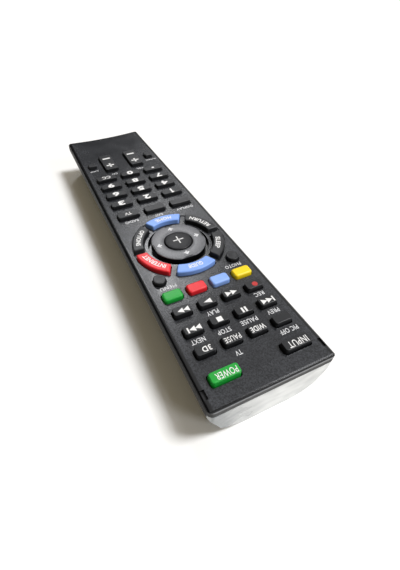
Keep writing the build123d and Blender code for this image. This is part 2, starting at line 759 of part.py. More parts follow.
# Cross web under the direction pad: it tips left and right and carries the ring
with BuildPart() as dpad_web:
    with BuildSketch(Plane.XY.offset(web_top)):
        with Locations((0, pad_centre)):
            Rectangle(2 * pad_pill_circle + pad_pill, web_arm)
            RegularPolygon(web_radius, round_flats)
            RegularPolygon(pad_inner, round_flats, major_radius=False, mode=Mode.SUBTRACT)
    extrude(amount=-web_thickness)
    with BuildSketch(Plane.XY.offset(web_top)):
        with Locations((-pad_pill_circle, pad_centre), (pad_pill_circle, pad_centre)):
            Rectangle(pad_pill, pad_pill)
    extrude(amount=pad_pill_base - web_top)
dpad_web.part.label = "dpad_web"
export_step(dpad_web.part, "parts/dpad_web.step")

# Direction ring: a disc with four flats on its rim, which tips up and down on the web
with BuildPart() as dpad_ring:
    with BuildSketch(Plane.XY.offset(pad_base)):
        with Locations((0, pad_centre)):
            Circle(pad_radius)
            Rectangle(2 * (pad_radius - pad_flat), 2 * (pad_radius - pad_flat), mode=Mode.INTERSECT)
    extrude(amount=face_height + pad_rise - pad_base)
    chamfer(dpad_ring.faces().sort_by(Axis.Z)[-1].edges(), length=key_bevel)
    with BuildSketch(Plane.XY.offset(pad_base)):
        with Locations((0, pad_centre)):
            RegularPolygon(pad_flange_radius, 2 * round_flats)
    extrude(amount=flange_thickness)
    with BuildSketch(Plane.XY.offset(pad_base)):
        with Locations((0, pad_centre)):
            RegularPolygon(pad_inner, 2 * round_flats, major_radius=False)
    extrude(amount=face_height, mode=Mode.SUBTRACT)
    with BuildSketch(Plane.XY.offset(pad_pill_base)):
        with Locations((0, pad_centre - pad_pill_circle), (0, pad_centre + pad_pill_circle)):
            Rectangle(pad_pill, pad_pill)
    extrude(amount=pad_base - pad_pill_base)
dpad_ring.part.label = "dpad_ring"
export_step(dpad_ring.part, "parts/dpad_ring.step")

# Round key in the middle of the direction ring
with BuildPart() as ok_key:
    with BuildSketch(Plane.XY.offset(face_height - ok_depth)):
        with Locations((0, pad_centre)):
            Circle(ok_radius)
    extrude(amount=ok_depth + ok_rise)
    chamfer(ok_key.faces().sort_by(Axis.Z)[-1].edges(), length=key_bevel)
    with BuildSketch(Plane.XY.offset(pill_base)):
        with Locations((0, pad_centre)):
            Rectangle(ok_stem, ok_stem)
    extrude(amount=face_height - ok_depth - pill_base)
ok_key.part.label = "ok_key"
export_step(ok_key.part, "parts/ok_key.step")
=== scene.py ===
import json
import math

import bmesh
import bpy
from mathutils import Matrix, Vector


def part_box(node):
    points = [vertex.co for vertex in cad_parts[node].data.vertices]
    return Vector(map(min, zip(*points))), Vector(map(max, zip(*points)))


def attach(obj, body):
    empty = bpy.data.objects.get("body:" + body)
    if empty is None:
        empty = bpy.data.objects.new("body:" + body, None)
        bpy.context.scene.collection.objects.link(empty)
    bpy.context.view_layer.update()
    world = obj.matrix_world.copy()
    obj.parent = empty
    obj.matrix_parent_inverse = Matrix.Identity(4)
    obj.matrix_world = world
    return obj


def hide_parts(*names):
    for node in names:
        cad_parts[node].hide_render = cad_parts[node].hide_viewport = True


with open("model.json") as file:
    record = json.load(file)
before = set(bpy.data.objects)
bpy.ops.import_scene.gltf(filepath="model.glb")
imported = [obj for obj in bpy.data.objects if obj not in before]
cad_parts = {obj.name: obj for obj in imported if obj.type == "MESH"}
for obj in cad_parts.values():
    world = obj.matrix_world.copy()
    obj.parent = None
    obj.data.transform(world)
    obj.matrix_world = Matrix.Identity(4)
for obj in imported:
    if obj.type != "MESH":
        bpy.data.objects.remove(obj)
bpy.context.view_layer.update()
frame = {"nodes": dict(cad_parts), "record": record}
nodes = frame["nodes"]
mm = 0.001
print("frame loaded, nodes:", len(nodes))


def addObject(name, data):
    made = bpy.data.objects.new(name, data)
    bpy.context.scene.collection.objects.link(made)
    return made


# Camera, from the photograph's corners of the case
cameraView = dict(
    place=(0.04740, 0.13515, 0.11847),
    right=(-0.9083, 0.4181, -0.0103),
    down=(0.3087, 0.6537, -0.6909),
    ahead=(-0.2822, -0.6307, -0.7229),
    lens=21.186,
    sensor=36,
    shift=(0.0310, -0.0034),
    clip=(0.005, 20),
)


def placeCamera(view):
    data = bpy.data.cameras.new("photoCamera")
    data.lens = view["lens"]
    data.sensor_width = view["sensor"]
    data.shift_x, data.shift_y = view["shift"]
    data.clip_start, data.clip_end = view["clip"]
    camera = addObject("photoCamera", data)
    right, up, back = Vector(view["right"]), -Vector(view["down"]), -Vector(view["ahead"])
    turn = Matrix((right, up, back)).transposed().to_quaternion()
    camera.rotation_mode = "QUATERNION"
    camera.rotation_quaternion = turn.normalized()
    camera.location = view["place"]
    bpy.context.scene.camera = camera


placeCamera(cameraView)
bpy.context.scene.view_settings.view_transform = "Standard"


# Colours are written as they look on a screen, 0 to 255
def paint(red, green, blue):
    def linear(level):
        level /= 255
        return level / 12.92 if level <= 0.04045 else ((level + 0.055) / 1.055) ** 2.4
    return (linear(red), linear(green), linear(blue), 1)


# Node building, short forms. A socket takes another socket's output or a plain value.
def feed(tree, socket, value):
    if hasattr(value, "is_output"):
        tree.links.new(value, socket)
    else:
        socket.default_value = value


def feedAll(tree, node, values):
    for label, value in values.items():
        feed(tree, node.inputs[label], value)


def addNode(tree, kind, **values):
    node = tree.nodes.new(kind)
    for key, value in values.items():
        if key in node.inputs:
            feed(tree, node.inputs[key], value)
        else:
            setattr(node, key, value)
    return node


def mathNode(tree, operation, first, second=0.5, clamp=False):
    node = addNode(tree, "ShaderNodeMath", operation=operation, use_clamp=clamp)
    for socket, value in zip(node.inputs, (first, second)):
        feed(tree, socket, value)
    return node.outputs[0]


def rangeNode(tree, value, low, high, toLow=0.0, toHigh=1.0):
    node = addNode(tree, "ShaderNodeMapRange", interpolation_type="SMOOTHSTEP", Value=value)
    feedAll(tree, node, {"From Min": low, "From Max": high, "To Min": toLow, "To Max": toHigh})
    return node.outputs["Result"]


def mixColour(tree, factor, first, second):
    node = addNode(tree, "ShaderNodeMix", data_type="RGBA", clamp_factor=True)
    for place, value in ((0, factor), (6, first), (7, second)):  # 6 and 7 are the colour sockets
        feed(tree, node.inputs[place], value)
    return node.outputs[2]


# A texture that runs from -1 to 1, as a mixing factor from 0 to the given share
def shareOf(tree, value, share):
    return mathNode(tree, "MULTIPLY", mathNode(tree, "ADD", value, 1.0), 0.5 * share, clamp=True)


def objectPlace(tree):
    return addNode(tree, "ShaderNodeTexCoord").outputs["Object"]


def axesOf(tree, place):
    return addNode(tree, "ShaderNodeSeparateXYZ", Vector=place).outputs


def newGroup(name, inputs, outputs):
    tree = bpy.data.node_groups.new(name, "ShaderNodeTree")
    for label, value in inputs.items():
        socket = tree.interface.new_socket(label, in_out="INPUT", socket_type="NodeSocketFloat")
        socket.default_value = value
    for label in outputs:
        tree.interface.new_socket(label, in_out="OUTPUT", socket_type="NodeSocketFloat")
    return tree, tree.nodes.new("NodeGroupInput"), tree.nodes.new("NodeGroupOutput")


noiseSpan = (0.3, 0.7)  # a noise texture mostly stays between these


# Fine spark-eroded grain of a moulded face: its height, and the slight change of tone with it
def makeGrainGroup():
    look = dict(detail=2.0, rough=0.6, pitSoftness=0.4, pitShare=0.6)
    tree, entry, leave = newGroup("mouldedGrain", {"Grain Size": 0.0003, "Depth": 1.0}, ("Height", "Tone"))
    place = objectPlace(tree)
    scale = mathNode(tree, "DIVIDE", 1.0, entry.outputs["Grain Size"])
    fine = addNode(tree, "ShaderNodeTexNoise", Vector=place, Scale=scale, Detail=look["detail"],
                   Roughness=look["rough"])
    pits = addNode(tree, "ShaderNodeTexVoronoi", feature="SMOOTH_F1", Vector=place, Scale=scale,
                   Smoothness=look["pitSoftness"])
    pitted = mathNode(tree, "MULTIPLY", pits.outputs["Distance"], look["pitShare"])
    mixed = mathNode(tree, "ADD", fine.outputs["Fac"], pitted)
    feedAll(tree, leave, {
        "Height": mathNode(tree, "MULTIPLY", mixed, entry.outputs["Depth"]),
        "Tone": rangeNode(tree, fine.outputs["Fac"], *noiseSpan, -1, 1),
    })
    return tree


# Broad uneven patches where hands have polished the plastic
def makeHandlingGroup():
    look = dict(detail=3.0, rough=0.55, distortion=0.4, low=0.35, high=0.68)
    tree, entry, leave = newGroup("handling", {"Patch Size": 0.02}, ("Patch",))
    scale = mathNode(tree, "DIVIDE", 1.0, entry.outputs["Patch Size"])
    cloud = addNode(tree, "ShaderNodeTexNoise", Vector=objectPlace(tree), Scale=scale, Detail=look["detail"],
                    Roughness=look["rough"], Distortion=look["distortion"])
    patch = rangeNode(tree, cloud.outputs["Fac"], look["low"], look["high"], -1, 1)
    feed(tree, leave.inputs["Patch"], patch)
    return tree


# Sharp edges, from the bend of the mesh, broken into patches. The finishes paint light or shade there: a
# painted glint on the keys and the window, painted shade on the face and pad edges, and a lighter tone on the
# other pieces.
def makeEdgeLightShadeGroup():
    look = dict(breakScale=900.0, detail=2.0, low=0.3, high=0.55, least=0.5)
    tree, entry, leave = newGroup("paintedEdgeLightShade", {"Start": 0.53, "Full": 0.62}, ("Edge",))
    bend = addNode(tree, "ShaderNodeNewGeometry").outputs["Pointiness"]
    patchy = addNode(tree, "ShaderNodeTexNoise", Vector=objectPlace(tree), Scale=look["breakScale"],
                     Detail=look["detail"])
    worn = rangeNode(tree, bend, entry.outputs["Start"], entry.outputs["Full"])
    broken = rangeNode(tree, patchy.outputs["Fac"], look["low"], look["high"], look["least"], 1)
    feed(tree, leave.inputs["Edge"], mathNode(tree, "MULTIPLY", worn, broken))
    return tree


# Sparse specks of dust
def makeDustGroup():
    look = dict(rareScale=160.0, detail=1.0, low=0.5, high=0.62)
    tree, entry, leave = newGroup("looseDust", {"Spacing": 0.003, "Speck": 0.04}, ("Dust",))
    place = objectPlace(tree)
    scale = mathNode(tree, "DIVIDE", 1.0, entry.outputs["Spacing"])
    cells = addNode(tree, "ShaderNodeTexVoronoi", Vector=place, Scale=scale)
    inside = mathNode(tree, "LESS_THAN", cells.outputs["Distance"], entry.outputs["Speck"])
    rare = addNode(tree, "ShaderNodeTexNoise", Vector=place, Scale=look["rareScale"], Detail=look["detail"])
    some = rangeNode(tree, rare.outputs["Fac"], look["low"], look["high"])
    feed(tree, leave.inputs["Dust"], mathNode(tree, "MULTIPLY", inside, some))
    return tree


grainGroup = makeGrainGroup()
handlingGroup = makeHandlingGroup()
edgeLightShadeGroup = makeEdgeLightShadeGroup()
dustGroup = makeDustGroup()


def placeGroup(tree, group, **values):
    node = tree.nodes.new("ShaderNodeGroup")
    node.node_tree = group
    feedAll(tree, node, values)
    return node


def patchesOf(tree, size):
    return placeGroup(tree, handlingGroup, **{"Patch Size": size}).outputs["Patch"]


def newMaterial(name):
    material = bpy.data.materials.new(name)
    material.use_nodes = True
    tree = material.node_tree
    tree.nodes.clear()
    shader = addNode(tree, "ShaderNodeBsdfPrincipled")
    addNode(tree, "ShaderNodeOutputMaterial", Surface=shader.outputs["BSDF"])
    return material, tree, shader


# A moulded plastic or rubber: tone that follows the grain, painted light or shade on its sharp edges, handled
# patches, a little dust
def mouldedFinish(name, look):
    material, tree, shader = newMaterial(name)
    grain = placeGroup(tree, grainGroup, **{"Grain Size": look["grain"]}).outputs
    hands = patchesOf(tree, look["patch"])
    edges = placeGroup(tree, edgeLightShadeGroup).outputs["Edge"]
    specks = {"Spacing": look["dustSpacing"], "Speck": look["dustSpeck"]}
    dust = placeGroup(tree, dustGroup, **specks).outputs["Dust"]
    layers = (
        (shareOf(tree, grain["Tone"], look["toneShift"]), look["light"]),
        (shareOf(tree, hands, look["patchShift"]), look["dark"]),
        # the edge layer is painted light: a glint where the edge tone is light, painted shade where it is
        # dark
        (mathNode(tree, "MULTIPLY", edges, look["edgeShift"]), look.get("edge", look["light"])),
        (mathNode(tree, "MULTIPLY", dust, look["dustShift"]), look["dust"]),
    )
    toned = paint(*look["colour"])
    for factor, colour in layers:
        toned = mixColour(tree, factor, toned, paint(*colour))
    rough = mathNode(tree, "ADD", look["rough"], mathNode(tree, "MULTIPLY", hands, look["patchRough"]))
    rough = mathNode(tree, "ADD", rough, mathNode(tree, "MULTIPLY", edges, look["edgeRough"]), clamp=True)
    bump = addNode(tree, "ShaderNodeBump", Strength=look["bump"], Distance=look["grainDepth"],
                   Height=grain["Height"])
    feedAll(tree, shader, {
        "Base Color": toned, "Roughness": rough, "Normal": bump.outputs["Normal"],
        "Specular IOR Level": look["gloss"], "IOR": look["ior"],
        "Coat Weight": look["coat"], "Coat Roughness": look["coatRough"],
    })
    return material


# Painted light or shade over part of a moulded piece: another tone and gloss. Each limit is an axis, whether
# both sides of its zero count, and the places in metres where the zone starts and is full.
def paintShadeOrLightZone(material, limits, colour, gloss):
    tree = material.node_tree
    shader = next(node for node in tree.nodes if node.type == "BSDF_PRINCIPLED")
    axes = axesOf(tree, objectPlace(tree))
    zone = 0.0
    for axis, eitherSide, start, full in limits:
        along = mathNode(tree, "ABSOLUTE", axes[axis]) if eitherSide else axes[axis]
        zone = mathNode(tree, "MAXIMUM", rangeNode(tree, along, start, full), zone)
    plain, rough = (shader.inputs[label].links[0].from_socket for label in ("Base Color", "Roughness"))
    glossier = mathNode(tree, "MULTIPLY", zone, gloss)
    feedAll(tree, shader, {
        "Base Color": mixColour(tree, zone, plain, paint(*colour)),
        "Roughness": mathNode(tree, "SUBTRACT", rough, glossier, clamp=True),
    })


plainLook = dict(
    grain=0.00030, grainDepth=0.00003, bump=0.35, toneShift=0.5,
    patch=0.02, patchShift=0.3, patchRough=-0.025, edgeShift=0.5, edgeRough=-0.08,
    rough=0.48, gloss=0.5, ior=1.45, coat=0.0, coatRough=0.25,
    dust=(196, 192, 184), dustSpacing=0.0035, dustSpeck=0.03, dustShift=0.25,
)


def lookOf(**changes):
    return {**plainLook, **changes}


# the face's edge tone is painted shade, darkening the shell's sharp edges
faceFinish = mouldedFinish("faceCharcoal", lookOf(
    colour=(14, 15, 17), light=(66, 68, 73), dark=(12, 13, 15), grain=0.00055, bump=0.55, patchShift=0.2,
    toneShift=0.9, edge=(30, 31, 34), rough=0.29, gloss=0.45, dustShift=0.4))
# Painted light and shade on the face: near-black painted shade on the shoulders, the front groove and the
# walls below the face, and a painted lighter tone on the front lip, where light from the front falls
facePaintedLightZones = dict(
    shadedShoulders=dict(limits=[("X", True, 0.0222, 0.0228), ("Y", False, 0.1007, 0.1009)],
                   colour=(7, 7, 8), gloss=0.06),
    litFrontLip=dict(limits=[("Y", False, 0.1015, 0.1017)], colour=(112, 114, 118), gloss=0.06),
    shadedWalls=dict(limits=[("Z", False, 0.0194, 0.0192)], colour=(6, 6, 7), gloss=-0.40),
)
for zone in facePaintedLightZones.values():
    paintShadeOrLightZone(faceFinish, **zone)
bodyFinish = mouldedFinish("bodyBlack", lookOf(
    colour=(18, 18, 20), light=(38, 38, 41), dark=(13, 13, 15), grain=0.00045, bump=0.5,
    rough=0.55, gloss=0.3))
# the keys' edge tone is a painted glint along their rims
keyFinish = mouldedFinish("keyBlack", lookOf(
    colour=(17, 18, 20), light=(40, 41, 44), dark=(12, 13, 15), grain=0.00022, bump=0.2,
    toneShift=0.35, rough=0.36, gloss=0.4, edge=(104, 106, 110), edgeShift=0.6, dustShift=0.1))
okFinish = mouldedFinish("okDark", lookOf(
    colour=(20, 21, 23), light=(46, 46, 49), dark=(15, 15, 17), grain=0.00024, bump=0.3,
    rough=0.42, gloss=0.25))
# the pad's edge tone is painted shade on its rims
padFinish = mouldedFinish("padGrey", lookOf(
    colour=(80, 81, 85), light=(124, 125, 129), dark=(66, 67, 70), grain=0.0004, bump=0.5,
    toneShift=0.8, patchShift=0.2, edge=(58, 59, 62), rough=0.34, gloss=0.5))
# painted shade: the pad's side walls below its top are drawn near black
padShadedSides = dict(limits=[("Z", False, 0.0212, 0.0210)], colour=(10, 10, 11), gloss=0.08)
paintShadeOrLightZone(padFinish, **padShadedSides)


# The coloured keys are one smooth plastic in several tones
colouredLook = lookOf(grain=0.00022, bump=0.1, toneShift=0.1, patchShift=0.2, edgeShift=0.45, rough=0.36,
                      gloss=0.4)


def colouredFinish(name, colour, light, dark, dustShift):
    tones = dict(colour=colour, light=light, dark=dark, dustShift=dustShift)
    return mouldedFinish(name, {**colouredLook, **tones})


greenFinish = colouredFinish("keyGreen", (20, 154, 50), (70, 204, 98), (10, 124, 34), 0.1)
redFinish = colouredFinish("keyRed", (228, 36, 46), (248, 100, 104), (180, 10, 20), 0.1)
yellowFinish = colouredFinish("keyYellow", (250, 218, 14), (253, 234, 84), (222, 172, 0), 0.05)
blueFinish = colouredFinish("keyBlue", (138, 176, 246), (196, 218, 252), (100, 136, 220), 0.05)
paleBlueFinish = colouredFinish("ringBlue", (126, 166, 240), (188, 212, 250), (90, 128, 214), 0.05)
print("plastics ready")


# Milky window over the infrared lamp: cloudy, with painted shade that darkens it towards +X, a painted
# highlight on its edges, and a smooth glossy skin
def makeWindowFinish():
    look = dict(
        clear=(112, 118, 121), cloud=(228, 230, 230), cloudSize=0.009, detail=1.0, flatten=1.8, mottle=0.22,
        shadedSide=0.026, unshadedSide=-0.004, darkest=0.08, lightest=0.8,  # sides are places along X in metres
        rim=(240, 241, 241), rimHighlightShift=0.35, rough=0.22, roughShift=0.12,
        gloss=0.5, seeThrough=0.06, ior=1.49, coat=0.3, coatRough=0.12,
    )
    material, tree, shader = newMaterial("windowMilky")
    place = objectPlace(tree)
    stretch = addNode(tree, "ShaderNodeMapping", Vector=place, Scale=(1.0, 1.0, look["flatten"]))
    cloud = addNode(tree, "ShaderNodeTexNoise", Vector=stretch.outputs["Vector"], Scale=1 / look["cloudSize"],
                    Detail=look["detail"])
    # painted shade: the window is drawn darker from the unshaded side towards the shaded +X side
    paintedShadeAcross = rangeNode(tree, axesOf(tree, place)["X"], look["shadedSide"], look["unshadedSide"])
    mottled = rangeNode(tree, cloud.outputs["Fac"], *noiseSpan, -look["mottle"], look["mottle"])
    shade = mathNode(tree, "ADD", rangeNode(tree, paintedShadeAcross, 0, 1, look["darkest"], look["lightest"]), mottled,
                     clamp=True)
    milky = mixColour(tree, shade, paint(*look["clear"]), paint(*look["cloud"]))
    # painted highlight: the window's sharp edges are drawn lighter
    edges = placeGroup(tree, edgeLightShadeGroup).outputs["Edge"]
    rim = mathNode(tree, "MULTIPLY", edges, look["rimHighlightShift"])
    rougher = mathNode(tree, "MULTIPLY", shade, look["roughShift"])
    feedAll(tree, shader, {
        "Base Color": mixColour(tree, rim, milky, paint(*look["rim"])),
        "Roughness": mathNode(tree, "ADD", look["rough"], rougher),
        "Specular IOR Level": look["gloss"], "Transmission Weight": look["seeThrough"], "IOR": look["ior"],
        "Coat Weight": look["coat"], "Coat Roughness": look["coatRough"],
    })
    return material


# Printed ink, slightly uneven where it has worn
def makeInk(name, colour, worn):
    look = dict(scale=1400.0, detail=3.0, broken=0.7, wear=(0.55, 0.75), rough=(0.4, 0.6))
    material, tree, shader = newMaterial(name)
    wear = addNode(tree, "ShaderNodeTexNoise", Vector=objectPlace(tree), Scale=look["scale"],
                   Detail=look["detail"], Roughness=look["broken"]).outputs["Fac"]
    worst = rangeNode(tree, wear, *look["wear"])
    feedAll(tree, shader, {
        "Base Color": mixColour(tree, worst, paint(*colour), paint(*worn)),
        "Roughness": rangeNode(tree, wear, *noiseSpan, *look["rough"]),
    })
    return material


windowFinish = makeWindowFinish()
whiteInk = makeInk("inkWhite", (236, 236, 236), (200, 201, 203))
labelInk = makeInk("inkLabel", (222, 223, 226), (178, 179, 182))
# painted shade for the gaps by the pad's flats
gapShadeInk = makeInk("gapShadePaint", (12, 12, 13), (26, 26, 28))
redInk = makeInk("inkRed", (184, 40, 38), (150, 30, 30))


# Parts inside the case
def makeBoardFinish():
    look = dict(weave=((34, 92, 52), (40, 100, 58)), weaveScale=1400.0,
                trace=(88, 140, 84), traceScale=210.0, traceWidth=0.03, rough=(0.42, 0.3))
    material, tree, shader = newMaterial("boardLaminate")
    place = objectPlace(tree)
    weave = addNode(tree, "ShaderNodeTexChecker", Vector=place, Scale=look["weaveScale"]).outputs["Fac"]
    traces = addNode(tree, "ShaderNodeTexBrick", Vector=place, Scale=look["traceScale"],
                     **{"Mortar Size": look["traceWidth"]}).outputs["Fac"]
    laminate = mixColour(tree, weave, *(paint(*tone) for tone in look["weave"]))
    feedAll(tree, shader, {
        "Base Color": mixColour(tree, traces, laminate, paint(*look["trace"])),
        "Roughness": rangeNode(tree, traces, 0, 1, *look["rough"]),
    })
    return material


def makeRubberFinish():
    look = dict(dark=(122, 126, 130), light=(138, 142, 146), patch=0.012, grain=0.0006,
                bump=0.2, grainDepth=0.00003, rough=(0.62, 0.7))
    material, tree, shader = newMaterial("matRubber")
    grain = placeGroup(tree, grainGroup, **{"Grain Size": look["grain"]})
    shade = shareOf(tree, patchesOf(tree, look["patch"]), 1.0)
    bump = addNode(tree, "ShaderNodeBump", Strength=look["bump"], Distance=look["grainDepth"],
                   Height=grain.outputs["Height"])
    feedAll(tree, shader, {
        "Base Color": mixColour(tree, shade, paint(*look["dark"]), paint(*look["light"])),
        "Roughness": rangeNode(tree, shade, 0, 1, *look["rough"]), "Normal": bump.outputs["Normal"],
    })
    return material


# Sleeve of a cell: plain wrapper with a band near one end and bare metal beyond it
def makeCellFinish(name, toward, box):
    look = dict(wrap=(58, 92, 120), band=(206, 208, 210), metal=(190, 190, 188), patch=0.004,
                rough=(0.3, 0.42), bandStart=0.72, metalStart=0.965)  # starts are shares of the length
    material, tree, shader = newMaterial(name)
    ends = (box[0].y, box[1].y) if toward > 0 else (box[1].y, box[0].y)
    along = rangeNode(tree, axesOf(tree, objectPlace(tree))["Y"], *ends)
    banded = mathNode(tree, "GREATER_THAN", along, look["bandStart"])
    bare = mathNode(tree, "GREATER_THAN", along, look["metalStart"])
    coloured = mixColour(tree, banded, paint(*look["wrap"]), paint(*look["band"]))
    feedAll(tree, shader, {
        "Base Color": mixColour(tree, bare, coloured, paint(*look["metal"])), "Metallic": bare,
        "Roughness": rangeNode(tree, patchesOf(tree, look["patch"]), -1, 1, *look["rough"]),
    })
    return material


def makeSteelFinish():
    look = dict(dark=(176, 174, 168), light=(206, 204, 198), scale=900.0, detail=3.0, brushed=14.0,
                rough=(0.24, 0.4))
    material, tree, shader = newMaterial("contactSteel")
    brush = addNode(tree, "ShaderNodeMapping", Vector=objectPlace(tree), Scale=(1.0, 1.0, look["brushed"]))
    lines = addNode(tree, "ShaderNodeTexNoise", Vector=brush.outputs["Vector"], Scale=look["scale"],
                    Detail=look["detail"]).outputs["Fac"]
    feedAll(tree, shader, {
        "Base Color": mixColour(tree, lines, paint(*look["dark"]), paint(*look["light"])),
        "Roughness": rangeNode(tree, lines, *noiseSpan, *look["rough"]), "Metallic": 1.0,
    })
    return material


boardFinish = makeBoardFinish()
rubberFinish = makeRubberFinish()
steelFinish = makeSteelFinish()
chipFinish = mouldedFinish("chipEpoxy", lookOf(
    colour=(34, 34, 36), light=(50, 50, 52), dark=(26, 26, 28), grain=0.0002, rough=0.6))
lampFinish = mouldedFinish("lampSmoke", lookOf(
    colour=(44, 40, 66), light=(70, 64, 96), dark=(34, 30, 54), bump=0.02, rough=0.12, gloss=0.6, coat=0.6))


def dress(name, material):
    piece = nodes[name]
    piece.data.materials.clear()
    piece.data.materials.append(material)


dressing = dict(
    top_cover=faceFinish, bottom_cover=bodyFinish, battery_door=bodyFinish, ir_window=windowFinish,
    keypad_mat=rubberFinish, circuit_board=boardFinish, ir_led=lampFinish, controller_chip=chipFinish,
    contact_bridge=steelFinish, board_contacts=steelFinish, dpad_web=keyFinish,
    battery_left=makeCellFinish("cellLeft", 1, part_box("battery_left")),
    battery_right=makeCellFinish("cellRight", -1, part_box("battery_right")),
)
for name, material in dressing.items():
    dress(name, material)
print("CAD nodes dressed")


# Mesh helpers
def raiseFace(bm, face, lift, spread=(1, 1)):
    made = bmesh.ops.extrude_face_region(bm, geom=[face])
    top = next(g for g in made["geom"] if isinstance(g, bmesh.types.BMFace))
    verts = list(top.verts)
    centre = sum((v.co for v in verts), Vector()) / len(verts)
    bmesh.ops.scale(bm, vec=(spread[0], spread[1], 1), space=Matrix.Translation(-centre), verts=verts)
    bmesh.ops.translate(bm, vec=(0, 0, lift), verts=verts)
    return top


def bevel(bm, geometry, affect, size, steps):
    bmesh.ops.bevel(bm, geom=geometry, offset=size, offset_type="OFFSET", affect=affect, segments=steps,
                    profile=0.5, material=-1)


# An upright post of the given width and depth, from its base to its top
def addPost(bm, place, size, base, top, turn=None):
    post = bmesh.ops.create_cube(bm, size=1)["verts"]
    tall = top - base
    bmesh.ops.scale(bm, vec=(size[0], size[1], tall), verts=post)
    if turn:
        bmesh.ops.rotate(bm, cent=(0, 0, 0), matrix=turn, verts=post)
    bmesh.ops.translate(bm, vec=(place[0], place[1], base + tall / 2), verts=post)


def joinInto(bm, other):
    bmesh.ops.recalc_face_normals(other, faces=other.faces)
    mesh = bpy.data.meshes.new("joining")
    other.to_mesh(mesh)
    other.free()
    bm.from_mesh(mesh)
    bpy.data.meshes.remove(mesh)


# How much an outline turns at a vertex
def cornerTurn(vert):
    first, second = vert.link_edges[:2]
    one = first.other_vert(vert).co - vert.co
    two = second.other_vert(vert).co - vert.co
    return math.pi - one.angle(two)


def finishMesh(bm, name, material, body, replaced, sharp=38):
    bmesh.ops.remove_doubles(bm, verts=bm.verts, dist=1e-7)
    bmesh.ops.recalc_face_normals(bm, faces=bm.faces)
    mesh = bpy.data.meshes.new(name)
    bm.to_mesh(mesh)
    bm.free()
    mesh.shade_smooth()
    mesh.set_sharp_from_angle(angle=math.radians(sharp))
    mesh.materials.append(material)
    piece = addObject(name, mesh)
    piece.modifiers.new("levelFaces", "WEIGHTED_NORMAL").keep_sharp = True
    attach(piece, body)
    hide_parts(replaced)


# Sizes shared by every key, in millimetres
keyForm = dict(
    skirt=0.8,           # flange beyond the cap
    skirtThickness=0.7,
    skirtDrop=1.9,       # top of the flange below the face
    skirtCorner=0.3,     # its corners are rounder than the cap's by this
    cornerSteps=5,
    draft=3.0,           # degrees
    inkDepth=0.04,       # the printing lies this far below the highest point of the CAD key
    stemMargin=1.1,
    stemGap=0.3,         # top of the stem below the top of the flange
)
# A key longer than this is a rocker, with a deeper flange and a stem near each end
rockerForm = dict(length=12, skirtDrop=2.55, stemEnd=4.2, stemMargin=1.4)
keyBody = {node: body for body, members in frame["record"]["behaviour"]["bodies"].items() for node in members}


# Middle of a CAD node seen from above, and its top above the floor, in millimetres. They are rounded, since
# the frame is in single precision.
def middleOf(node):
    low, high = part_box(node)
    return round((low.x + high.x) / 2 / mm, 2), round((low.y + high.y) / 2 / mm, 2)


def topOf(node):
    return round(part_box(node)[1].z / mm, 2)


faceTop = topOf("top_cover") * mm


# One straight-sided key, raised from the skirt upwards as a single skin
def boxKey(node, material, rim=0.22, corner=0.8, rimSteps=3):
    low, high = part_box(node)
    middle = (low + high) / 2
    skirtWidth, skirtDepth = high.x - low.x, high.y - low.y
    width = skirtWidth - 2 * keyForm["skirt"] * mm
    depth = skirtDepth - 2 * keyForm["skirt"] * mm
    rocker = depth > rockerForm["length"] * mm
    skirtTop = faceTop - (rockerForm if rocker else keyForm)["skirtDrop"] * mm
    top = high.z - keyForm["inkDepth"] * mm
    bm = bmesh.new()
    sheet = bmesh.ops.create_grid(bm, x_segments=1, y_segments=1, size=0.5)["verts"]
    bmesh.ops.scale(bm, vec=(skirtWidth, skirtDepth, 1), verts=sheet)
    bmesh.ops.translate(bm, vec=(middle.x, middle.y, skirtTop - keyForm["skirtThickness"] * mm), verts=sheet)
    bevel(bm, sheet, "VERTICES", (corner + keyForm["skirtCorner"]) * mm, keyForm["cornerSteps"])
    bm.faces.ensure_lookup_table()
    face = raiseFace(bm, bm.faces[0], keyForm["skirtThickness"] * mm)
    face = raiseFace(bm, face, 0, (width / skirtWidth, depth / skirtDepth))
    lean = math.tan(math.radians(keyForm["draft"])) * (top - skirtTop)
    face = raiseFace(bm, face, top - skirtTop, (1 - 2 * lean / width, 1 - 2 * lean / depth))
    bevel(bm, list(face.edges), "EDGES", rim * mm, rimSteps)
    if rocker:
        reach = depth / 2 - rockerForm["stemEnd"] * mm
        shifts = (-reach, reach)
        stem = [2 * (width / 2 - rockerForm["stemMargin"] * mm)] * 2
    else:
        shifts = (0,)
        stem = [2 * (size / 2 - keyForm["stemMargin"] * mm) for size in (width, depth)]
    for shift in shifts:
        addPost(bm, (middle.x, middle.y + shift), stem, low.z, skirtTop - keyForm["stemGap"] * mm)
    finishMesh(bm, node + "_cap", material, keyBody[node], node)


darkKeys = [name + "_key" for name in (
    "input", "picture_off", "wide", "tv_pause", "depth", "previous", "pause", "stop", "next", "record",
    "rewind", "play", "forward", "display", "exit", "source", "dot", "caption")]
darkKeys += ["volume_rocker", "channel_rocker", "mute_key", "jump_key"]
darkKeys += ["digit_%d_key" % n for n in range(10)]
for node in darkKeys:
    boxKey(node, keyFinish)
boxKey("power_key", greenFinish, rim=0.42, corner=1.0)
for colour, material in (("green", greenFinish), ("red", redFinish), ("blue", blueFinish),
                         ("yellow", yellowFinish)):
    boxKey(colour + "_key", material, rim=0.8, corner=1.3, rimSteps=4)
print("straight keys made")


# Ring of six arc keys, in millimetres and degrees
ringForm = dict(
    centre=middleOf("dpad_ring"), outer=20.9, inner=15.8, gap=2.8, share=60, skirt=0.8, steps=18,
    rim=0.6, corner=0.7, roundSteps=4, stem=3.2,
    sink=0.1,  # the cap starts this far inside the flange
)
ringCentre = Vector((*ringForm["centre"], 0)) * mm
arcKeys = dict(
    shortcut_key=(30, redFinish, "red_plastic"), guide_key=(90, paleBlueFinish, "pale_blue_plastic"),
    sleep_key=(150, keyFinish, "key_plastic"), return_key=(210, keyFinish, "key_plastic"),
    home_key=(270, paleBlueFinish, "pale_blue_plastic"), options_key=(330, keyFinish, "key_plastic"),
)


